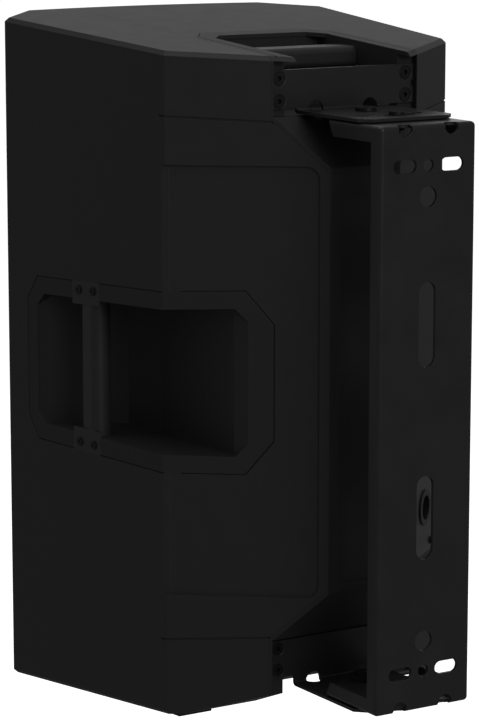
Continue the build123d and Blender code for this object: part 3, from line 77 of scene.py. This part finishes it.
# plan of the cabinet's front, which the grille follows
FRONT_FLAT = 261.0 * MM       # width of the bowed middle
FRONT_BOW = 8.0 * MM          # how far the middle stands out
CHEEK_DEPTH = 47.0 * MM       # from the end of the bow back to the side
CABINET_WIDTH = 356.0 * MM
GRILLE_INSET = 3.0 * MM
PLAN_STEP = 4.0 * MM          # between points along the bow
CORNER_STEP = 1.0 * MM        # the corner lies this far before the first point past the bow

# grille holes, as shares of their pitch or radius
HOLE_SIDES = 6
MERGE_SHARE = 0.02            # corners nearer than this share of the pitch are one
SIDE_SHARE = 0.75             # edges this near the end of the holes border on the plain strip
TOP_SHARE = 0.1
LONGER_THAN_RIM = 1.02        # only edges longer than a hole's own grow into the strip
COPY_MARGIN = 0.01

# surfaces
NOISE_LOW = 0.3               # most of the noise lies between these two
NOISE_HIGH = 0.7
NOISE_DETAIL = 3.0
BEVEL_SAMPLES = 6
COAT_ROUGHNESS = 0.25
SMOOTH_ANGLE = 35

# camera, in metres and degrees, in the frame of the wall bracket
CAMERA_TARGET = (0.1772, -0.0173, 0.0718)
CAMERA_AZIMUTH = 147.92
CAMERA_ELEVATION = 10.11
CAMERA_DISTANCE = 2.4139
CAMERA_LENS = 145.4
CAMERA_SHIFT = (-0.0019, -0.0056)
CAMERA_SENSOR = 36.0          # in millimetres
CAMERA_REACH = 200.0

# studio, in metres; the cabinet hangs on its bracket well above the floor
FLOOR_DROP = 0.35
FLOOR_HALF = 40.0
FLOOR_CELLS = 8
TOP_BOX = dict(place=(0.1, -0.6, 2.4), aim=(0, -0.3, 0), size=(2.4, 2.4))
REAR_BOX = dict(place=(0.2, 3.0, 1.3), aim=(0, -0.2, 0), size=(2.0, 1.6))
FAR_BOX = dict(place=(-1.7, -2.9, 1.0), aim=(0, -0.3, 0.3), size=(4.5, 1.2))


# ------------------------------------------------------------------ settings
class SpeakerColours(PropertyGroup):
    moulding: FloatVectorProperty(
        name="Moulding", description="Colour of the moulded cabinet", subtype="COLOR",
        default=(0.024, 0.024, 0.025), min=0, max=1)
    liner: FloatVectorProperty(
        name="Liners", description="Colour of the pockets and handle cups", subtype="COLOR",
        default=(0.021, 0.021, 0.022), min=0, max=1)
    grip: FloatVectorProperty(
        name="Grips", description="Colour of the grips", subtype="COLOR",
        default=(0.030, 0.030, 0.031), min=0, max=1)
    powder_coat: FloatVectorProperty(
        name="Brackets", description="Colour of the powder coat on the steel brackets", subtype="COLOR",
        default=(0.027, 0.027, 0.028), min=0, max=1)
    grille: FloatVectorProperty(
        name="Grille", description="Colour of the perforated grille", subtype="COLOR",
        default=(0.018, 0.018, 0.018), min=0, max=1)
    floor: FloatVectorProperty(
        name="Floor", description="Colour of the studio floor", subtype="COLOR",
        default=(0.92, 0.92, 0.92), min=0, max=1)


class SpeakerSizes(PropertyGroup):
    grain: FloatProperty(
        name="Grain", description="Size of the grain in the moulded surface", subtype="DISTANCE",
        default=0.9 * MM, min=0.1 * MM, max=5 * MM)
    hole_pitch: FloatProperty(
        name="Hole pitch", description="Distance between grille holes", subtype="DISTANCE",
        default=7.2 * MM, min=4 * MM, max=20 * MM)
    hole_radius: FloatProperty(
        name="Hole radius", description="Radius of a grille hole", subtype="DISTANCE",
        default=2.5 * MM, min=1 * MM, max=8 * MM)
    grille_border: FloatProperty(
        name="Grille border", description="Unperforated strip round the grille", subtype="DISTANCE",
        default=6.0 * MM, min=1 * MM, max=30 * MM)
    grille_sheet: FloatProperty(
        name="Grille sheet", description="Thickness of the grille's steel", subtype="DISTANCE",
        default=1.2 * MM, min=0.5 * MM, max=2 * MM)


class StudioSettings(PropertyGroup):
    top_power: FloatProperty(
        name="Top light", description="Power of the overhead soft box", unit="POWER",
        default=14.0, min=0)
    far_power: FloatProperty(
        name="Far light", description="Power of the low soft box beyond the cabinet", unit="POWER",
        default=12.0, min=0)
    rear_power: FloatProperty(
        name="Rear light", description="Power of the soft box behind the cabinet", unit="POWER",
        default=18.5, min=0)
    floor_glow: FloatProperty(
        name="Floor glow", description="Light that the floor paper gives off by itself",
        default=0.95, min=0, max=5)
    ambient: FloatProperty(
        name="Ambient", description="Brightness of the room round the set",
        default=0.12, min=0, max=5)


# ------------------------------------------------------------------ materials
def new_material(name):
    """A new material, with its nodes, its links and its shader."""
    material = bpy.data.materials.new(name)
    material.use_nodes = True
    nodes = material.node_tree.nodes
    shader = nodes["Principled BSDF"]
    return material, nodes, material.node_tree.links, shader


def object_noise(nodes, links, size, stretch=(1, 1, 1)):
    """Noise with features of about the given size, fixed to the piece."""
    place = nodes.new("ShaderNodeTexCoord")
    mapping = nodes.new("ShaderNodeMapping")
    mapping.inputs["Scale"].default_value = stretch
    noise = nodes.new("ShaderNodeTexNoise")
    noise.inputs["Scale"].default_value = 1.0 / size
    noise.inputs["Detail"].default_value = NOISE_DETAIL
    links.new(place.outputs["Object"], mapping.inputs["Vector"])
    links.new(mapping.outputs["Vector"], noise.inputs["Vector"])
    return noise.outputs["Fac"]


def spread(nodes, links, value, low, high):
    """Maps a noise value on to a range."""
    node = nodes.new("ShaderNodeMapRange")
    node.inputs["From Min"].default_value = NOISE_LOW
    node.inputs["From Max"].default_value = NOISE_HIGH
    node.inputs["To Min"].default_value = low
    node.inputs["To Max"].default_value = high
    links.new(value, node.inputs["Value"])
    return node.outputs["Result"]


def tinted(nodes, links, value, colour, swing):
    """The colour, a little darker and lighter from place to place."""
    ramp = nodes.new("ShaderNodeValToRGB")
    dark, light = ramp.color_ramp.elements
    dark.position = NOISE_LOW
    light.position = NOISE_HIGH
    dark.color = [part * (1 - swing) for part in colour] + [1]
    light.color = [min(1.0, part * (1 + swing)) for part in colour] + [1]
    links.new(value, ramp.inputs["Fac"])
    return ramp.outputs["Color"]


def eased_edges(nodes, radius):
    """Normal that rounds every edge by a small radius."""
    node = nodes.new("ShaderNodeBevel")
    node.samples = BEVEL_SAMPLES
    node.inputs["Radius"].default_value = radius
    return node.outputs["Normal"]


def finish_material(name, colour, rough, grain, depth, strength=0.35, swing=0.12, metal=0.0,
                    edge=0.8 * MM, stretch=(1, 1, 1), rough_swing=0.06, patch=0.05, coat=0.0):
    """Surface with its own grain, uneven gloss and colour, and eased edges."""
    material, nodes, links, shader = new_material(name)
    shader.inputs["Metallic"].default_value = metal
    if coat:
        shader.inputs["Coat Weight"].default_value = coat
        shader.inputs["Coat Roughness"].default_value = COAT_ROUGHNESS
    patches = object_noise(nodes, links, patch)
    fine = object_noise(nodes, links, grain, stretch)
    links.new(tinted(nodes, links, patches, colour, swing), shader.inputs["Base Color"])
    gloss = nodes.new("ShaderNodeMath")
    gloss.operation = "ADD"
    links.new(spread(nodes, links, patches, rough - rough_swing, rough + rough_swing), gloss.inputs[0])
    links.new(spread(nodes, links, fine, -rough_swing / 2, rough_swing / 2), gloss.inputs[1])
    links.new(gloss.outputs["Value"], shader.inputs["Roughness"])
    bump = nodes.new("ShaderNodeBump")
    bump.inputs["Strength"].default_value = strength
    bump.inputs["Distance"].default_value = depth
    links.new(fine, bump.inputs["Height"])
    links.new(eased_edges(nodes, edge), bump.inputs["Normal"])
    links.new(bump.outputs["Normal"], shader.inputs["Normal"])
    return material


def finishes():
    """Colour and surface of each of the record's material slots."""
    colours = bpy.context.scene.speaker_colours
    grain = bpy.context.scene.speaker_sizes.grain
    moulded = dict(rough=0.55, grain=grain, depth=0.25 * MM, rough_swing=0.02, swing=0.06, patch=0.02)
    sheet = dict(rough=0.33, grain=0.7 * MM, depth=0.06 * MM, edge=0.6 * MM)
    steel = dict(rough=0.32, grain=0.5 * MM, depth=0.03 * MM, metal=1.0, edge=0.4 * MM, stretch=(1, 1, 12))
    cloth = dict(rough=0.9, grain=1.2 * MM, depth=0.8 * MM, strength=0.8)
    return {
        "moulding": (tuple(colours.moulding), moulded),
        "liner": (tuple(colours.liner), dict(moulded, rough=0.6)),
        "grip": (tuple(colours.grip), dict(moulded, rough=0.45, grain=0.6 * MM)),
        "bracket": (tuple(colours.powder_coat), sheet),
        "plate": (tuple(colours.powder_coat), sheet),
        "grille_sheet": (tuple(colours.grille), dict(sheet, edge=0.2 * MM)),
        "basket": ((0.02, 0.02, 0.02), sheet),
        "foam": ((0.008, 0.008, 0.008), cloth),
        "dark_screw": ((0.03, 0.03, 0.032), dict(steel, rough=0.4, metal=0.7)),
        "plated": ((0.55, 0.55, 0.57), steel),
        "motor_steel": ((0.5, 0.5, 0.52), steel),
        "insert": ((0.66, 0.47, 0.22), steel),
        "coil": ((0.62, 0.33, 0.16), dict(steel, stretch=(1, 12, 1))),
        "inductor": ((0.55, 0.22, 0.09), dict(steel, stretch=(1, 1, 14), depth=0.2 * MM)),
        "diaphragm": ((0.72, 0.73, 0.75), steel),
        "rubber": ((0.018, 0.018, 0.018), dict(rough=0.75, grain=1.4 * MM, depth=0.3 * MM)),
        "surround": ((0.02, 0.02, 0.02), dict(rough=0.6, grain=0.8 * MM, depth=0.1 * MM)),
        "lead": ((0.03, 0.03, 0.03), dict(rough=0.5, grain=1.0 * MM, depth=0.1 * MM)),
        "cone": ((0.03, 0.03, 0.032), dict(rough=0.7, grain=2.0 * MM, depth=0.3 * MM)),
        "spider": ((0.42, 0.26, 0.08), cloth),
        "damping": ((0.5, 0.5, 0.45), dict(cloth, grain=4 * MM, depth=3 * MM)),
        "ferrite": ((0.05, 0.05, 0.052), dict(rough=0.65, grain=1.0 * MM, depth=0.15 * MM)),
        "horn": ((0.02, 0.02, 0.02), dict(moulded, rough=0.4)),
        "port": ((0.02, 0.02, 0.02), dict(moulded, rough=0.5)),
        "socket": ((0.012, 0.012, 0.013), dict(rough=0.4, grain=0.6 * MM, depth=0.05 * MM, edge=0.4 * MM)),
        "driver_cover": ((0.02, 0.02, 0.02), dict(rough=0.25, grain=1.0 * MM, depth=0.04 * MM, coat=0.4)),
        "board": ((0.03, 0.14, 0.05), dict(rough=0.4, grain=1.5 * MM, depth=0.05 * MM)),
        "capacitor": ((0.05, 0.1, 0.22), dict(rough=0.3, grain=1.0 * MM, depth=0.05 * MM)),
        "resistor": ((0.7, 0.68, 0.6), dict(rough=0.7, grain=0.6 * MM, depth=0.1 * MM)),
    }


def look(slot):
    """The material of one slot, made once."""
    name = "finish_" + slot
    if name in bpy.data.materials:
        return bpy.data.materials[name]
    colour, surface = finishes()[slot]
    return finish_material(name, colour, **surface)


def wear(piece, slot):
    """Gives a piece one material all over."""
    piece.data.materials.clear()
    piece.data.materials.append(look(slot))


# ------------------------------------------------------------------ meshes
def verts_in(geom):
    """The corners among the results of a mesh operator."""
    return [item for item in geom if isinstance(item, bmesh.types.BMVert)]


def as_object(name, bm, slot, body, replaced):
    """Turns a bmesh into a named piece that rides on a body and stands for a node."""
    bmesh.ops.recalc_face_normals(bm, faces=bm.faces)
    mesh = bpy.data.meshes.new(name)
    bm.to_mesh(mesh)
    bm.free()
    piece = bpy.data.objects.new(name, mesh)
    bpy.context.collection.objects.link(piece)
    mesh.shade_smooth()
    mesh.set_sharp_from_angle(angle=math.radians(SMOOTH_ANGLE))
    wear(piece, slot)
    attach(piece, body)
    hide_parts(replaced)
    return piece


# ------------------------------------------------------------------ grille
def grille_plan():
    """Outside of the grille seen from above, from one end to the other."""
    low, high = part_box("grille")
    half_flat = FRONT_FLAT / 2
    bow_radius = (half_flat ** 2 + FRONT_BOW ** 2) / (2 * FRONT_BOW) - GRILLE_INSET
    cheek_slope = CHEEK_DEPTH / (CABINET_WIDTH / 2 - half_flat)
    end_x, end_y = high[0], high[1]

    def bow_y(x):
        return low[1] + bow_radius - math.sqrt(bow_radius ** 2 - x ** 2)

    def cheek_y(x):
        return end_y - (end_x - x) * cheek_slope

    points = []
    x = 0.0
    while bow_y(x) > cheek_y(x):
        points.append((x, bow_y(x)))
        x += PLAN_STEP
    points += [(x - CORNER_STEP, cheek_y(x)), (end_x, end_y)]
    return [(-px, py) for px, py in reversed(points[1:])] + points


def along(path, distance):
    """Point at a distance along a path of straight runs."""
    for (x0, y0), (x1, y1) in zip(path, path[1:]):
        run = math.hypot(x1 - x0, y1 - y0)
        if distance <= run or (x1, y1) == path[-1]:
            share = distance / run
            return x0 + (x1 - x0) * share, y0 + (y1 - y0) * share
        distance -= run


def hole_cell(pitch, row, radius):
    """One hole with the sheet round it, a pitch wide and a row high."""
    bm = bmesh.new()
    rim = bmesh.ops.create_circle(bm, segments=HOLE_SIDES, radius=radius)["verts"]
    bmesh.ops.rotate(bm, verts=rim, matrix=Matrix.Rotation(math.radians(90), 3, "X"))
    grown = bmesh.ops.extrude_edge_only(bm, edges=list(bm.edges))["geom"]
    for vert in verts_in(grown):
        side = 0 if abs(vert.co.x) < radius / 4 else math.copysign(pitch / 2, vert.co.x)
        vert.co = Vector((side, 0, math.copysign(row / 2, vert.co.z)))
    return bm


def faces_before(bm, direction, reach):
    """The faces whose middles lie before a distance along the direction, with their edges and corners."""
    faces = [face for face in bm.faces if face.calc_center_median().dot(direction) < reach]
    verts = {vert for face in faces for vert in face.verts}
    edges = {edge for face in faces for edge in face.edges}
    return [vert for vert in bm.verts if vert in verts] + [edge for edge in bm.edges if edge in edges] + faces


def repeat(bm, step, count):
    """Copies everything in the mesh so that it stands count times, a step apart."""
    direction = step.normalized()
    start = min(vert.co.dot(direction) for vert in bm.verts)
    made = 1
    while made < count:
        extra = min(made, count - made)
        geom = list(bm.verts) + list(bm.edges) + list(bm.faces)
        if extra < made:
            geom = faces_before(bm, direction, start + step.length * (extra + COPY_MARGIN))
        copied = bmesh.ops.duplicate(bm, geom=geom)["geom"]
        bmesh.ops.translate(bm, verts=verts_in(copied), vec=step * made)
        made += extra


def centre(bm):
    """Moves the mesh so that its middle is at the origin."""
    xs = [vert.co.x for vert in bm.verts]
    zs = [vert.co.z for vert in bm.verts]
    shift = Vector((-(min(xs) + max(xs)) / 2, 0, -(min(zs) + max(zs)) / 2))
    bmesh.ops.translate(bm, verts=bm.verts, vec=shift)


def add_border(bm, width, height, pitch, radius):
    """Grows the sheet outside the holes to a width and a height."""
    side = max(vert.co.x for vert in bm.verts) - SIDE_SHARE * pitch
    top = max(vert.co.z for vert in bm.verts) - TOP_SHARE * pitch
    outer = [
        edge for edge in bm.edges
        if edge.is_boundary and edge.calc_length() > radius * LONGER_THAN_RIM and (
            max(abs(vert.co.x) for vert in edge.verts) > side
            or max(abs(vert.co.z) for vert in edge.verts) > top)
    ]
    grown = bmesh.ops.extrude_edge_only(bm, edges=outer)["geom"]
    for vert in verts_in(grown):
        if abs(vert.co.x) > side:
            vert.co.x = math.copysign(width / 2, vert.co.x)
        if abs(vert.co.z) > top:
            vert.co.z = math.copysign(height / 2, vert.co.z)


def punched_sheet(width, height, pitch, radius, border):
    """Flat sheet in X and Z with staggered holes and a plain border."""
    row = pitch * math.sqrt(3) / 2
    columns = int((width - 2 * border) / pitch)
    row_pairs = int((height - 2 * border) / row / 2)
    bm = hole_cell(pitch, row, radius)
    cell = list(bm.verts) + list(bm.edges) + list(bm.faces)
    copied = bmesh.ops.duplicate(bm, geom=cell)["geom"]
    bmesh.ops.translate(bm, verts=verts_in(copied), vec=(pitch / 2, 0, row))
    for step, count in ((Vector((pitch, 0, 0)), columns), (Vector((0, 0, 2 * row)), row_pairs)):
        repeat(bm, step, count)
        bmesh.ops.remove_doubles(bm, verts=bm.verts, dist=pitch * MERGE_SHARE)
    centre(bm)
    add_border(bm, width, height, pitch, radius)
    return bm


def make_grille():
    sizes = bpy.context.scene.speaker_sizes
    low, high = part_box("grille")
    path = grille_plan()
    length = sum(math.dist(a, b) for a, b in zip(path, path[1:]))
    bm = punched_sheet(length, high[2] - low[2], sizes.hole_pitch, sizes.hole_radius, sizes.grille_border)
    middle = (low[2] + high[2]) / 2
    for vert in bm.verts:
        x, y = along(path, min(max(vert.co.x + length / 2, 0.0), length))
        vert.co = Vector((x, y, vert.co.z + middle))
    piece = as_object("grille_sheet", bm, "grille_sheet", "speaker", "grille")
    solid = piece.modifiers.new("sheet", "SOLIDIFY")
    solid.thickness = sizes.grille_sheet
    solid.offset = -1.0
    return piece


# ------------------------------------------------------------------ studio
def make_floor(scene):
    """A wide sheet of pale paper that glows a little by itself."""
    bm = bmesh.new()
    bmesh.ops.create_grid(bm, x_segments=FLOOR_CELLS, y_segments=FLOOR_CELLS, size=FLOOR_HALF)
    bmesh.ops.translate(bm, verts=bm.verts, vec=(0, 0, CAD_LOW[2] - FLOOR_DROP))
    mesh = bpy.data.meshes.new("studio_floor")
    bm.to_mesh(mesh)
    bm.free()
    floor = bpy.data.objects.new("studio_floor", mesh)
    scene.collection.objects.link(floor)
    paper = finish_material(
        "floor_paper", tuple(scene.speaker_colours.floor), rough=0.8, grain=10 * MM, depth=0.2 * MM,
        edge=0.1 * MM, swing=0.01)
    shader = paper.node_tree.nodes["Principled BSDF"]
    shader.inputs["Emission Color"].default_value = (1, 1, 1, 1)
    shader.inputs["Emission Strength"].default_value = scene.speaker_studio.floor_glow
    mesh.materials.append(paper)
    floor.visible_glossy = False
    floor.visible_diffuse = False
    floor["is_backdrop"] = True


def soft_box(name, power, place, aim, size):
    """A rectangular light at a place, turned to face another."""
    data = bpy.data.lights.new(name, "AREA")
    data.shape = "RECTANGLE"
    data.size, data.size_y = size
    data.energy = power
    lamp = bpy.data.objects.new(name, data)
    lamp.location = place
    lamp.rotation_euler = (Vector(aim) - Vector(place)).to_track_quat("-Z", "Y").to_euler()
    bpy.context.collection.objects.link(lamp)
    return lamp


def make_lights(settings):
    """Soft boxes overhead, behind the cabinet, and a wide low one beyond it that the camera doesn't see."""
    soft_box("top_soft_box", settings.top_power, **TOP_BOX)
    soft_box("rear_soft_box", settings.rear_power, **REAR_BOX)
    far_box = soft_box("far_soft_box", settings.far_power, **FAR_BOX)
    far_box.visible_camera = False


def make_room(scene):
    """A white backdrop that lights the set only faintly."""
    world = bpy.data.worlds.new("studio_room")
    scene.world = world
    world.use_nodes = True
    nodes, links = world.node_tree.nodes, world.node_tree.links
    ray = nodes.new("ShaderNodeLightPath")
    room = nodes["Background"]
    room.inputs["Color"].default_value = (1, 1, 1, 1)
    brightness = nodes.new("ShaderNodeMapRange")
    brightness.inputs["To Min"].default_value = scene.speaker_studio.ambient
    brightness.inputs["To Max"].default_value = 1.0
    links.new(ray.outputs["Is Camera Ray"], brightness.inputs["Value"])
    links.new(brightness.outputs["Result"], room.inputs["Strength"])


def make_camera(scene):
    """The camera, on a line from its target at the given azimuth and elevation."""
    azimuth, elevation = math.radians(CAMERA_AZIMUTH), math.radians(CAMERA_ELEVATION)
    back = Vector((
        math.sin(azimuth) * math.cos(elevation), -math.cos(azimuth) * math.cos(elevation),
        math.sin(elevation)))
    data = bpy.data.cameras.new("camera")
    data.lens = CAMERA_LENS
    data.sensor_width = CAMERA_SENSOR
    data.shift_x, data.shift_y = CAMERA_SHIFT
    data.clip_end = CAMERA_REACH
    camera = bpy.data.objects.new("camera", data)
    camera.location = Vector(CAMERA_TARGET) + back * CAMERA_DISTANCE
    camera.rotation_euler = (-back).to_track_quat("-Z", "Y").to_euler()
    scene.collection.objects.link(camera)
    scene.camera = camera


# ------------------------------------------------------------------ operators
class SPEAKER_OT_frame_finishes(Operator):
    """Gives every piece of the loaded frame its finish"""
    bl_idname = "speaker.frame_finishes"
    bl_label = "Finish the frame's pieces"

    def execute(self, context):
        slots = {entry["node"]: entry["material_slot"] for entry in frame["record"]["subparts"]}
        for name, piece in frame["nodes"].items():
            wear(piece, slots[name])
        return {"FINISHED"}


class SPEAKER_OT_grille(Operator):
    """Makes the perforated grille"""
    bl_idname = "speaker.grille"
    bl_label = "Grille"

    def execute(self, context):
        make_grille()
        return {"FINISHED"}


class SPEAKER_OT_studio(Operator):
    """Sets up the floor, the soft light and the camera"""
    bl_idname = "speaker.studio"
    bl_label = "Studio"

    def execute(self, context):
        make_floor(context.scene)
        make_lights(context.scene.speaker_studio)
        make_room(context.scene)
        make_camera(context.scene)
        context.scene.view_settings.view_transform = "Standard"
        return {"FINISHED"}


class SPEAKER_PT_panel(Panel):
    """Lists the pieces and their sizes and colours"""
    bl_idname = "SPEAKER_PT_panel"
    bl_label = "Loudspeaker"
    bl_space_type = "VIEW_3D"
    bl_region_type = "UI"
    bl_category = "Loudspeaker"

    def draw(self, context):
        layout = self.layout
        for group in (context.scene.speaker_colours, context.scene.speaker_sizes, context.scene.speaker_studio):
            box = layout.box()
            for name in group.__annotations__:
                box.prop(group, name)
        for operator in OPERATORS:
            layout.operator(operator.bl_idname)


OPERATORS = (SPEAKER_OT_frame_finishes, SPEAKER_OT_grille, SPEAKER_OT_studio)
CLASSES = (SpeakerColours, SpeakerSizes, StudioSettings) + OPERATORS + (SPEAKER_PT_panel,)


def register():
    for cls in CLASSES:
        bpy.utils.register_class(cls)
    bpy.types.Scene.speaker_colours = PointerProperty(type=SpeakerColours)
    bpy.types.Scene.speaker_sizes = PointerProperty(type=SpeakerSizes)
    bpy.types.Scene.speaker_studio = PointerProperty(type=StudioSettings)


def unregister():
    del bpy.types.Scene.speaker_studio
    del bpy.types.Scene.speaker_sizes
    del bpy.types.Scene.speaker_colours
    for cls in reversed(CLASSES):
        bpy.utils.unregister_class(cls)


def main():
    register()
    bpy.ops.speaker.frame_finishes()
    bpy.ops.speaker.grille()
    bpy.ops.speaker.studio()


if __name__ == "__main__":
    main()
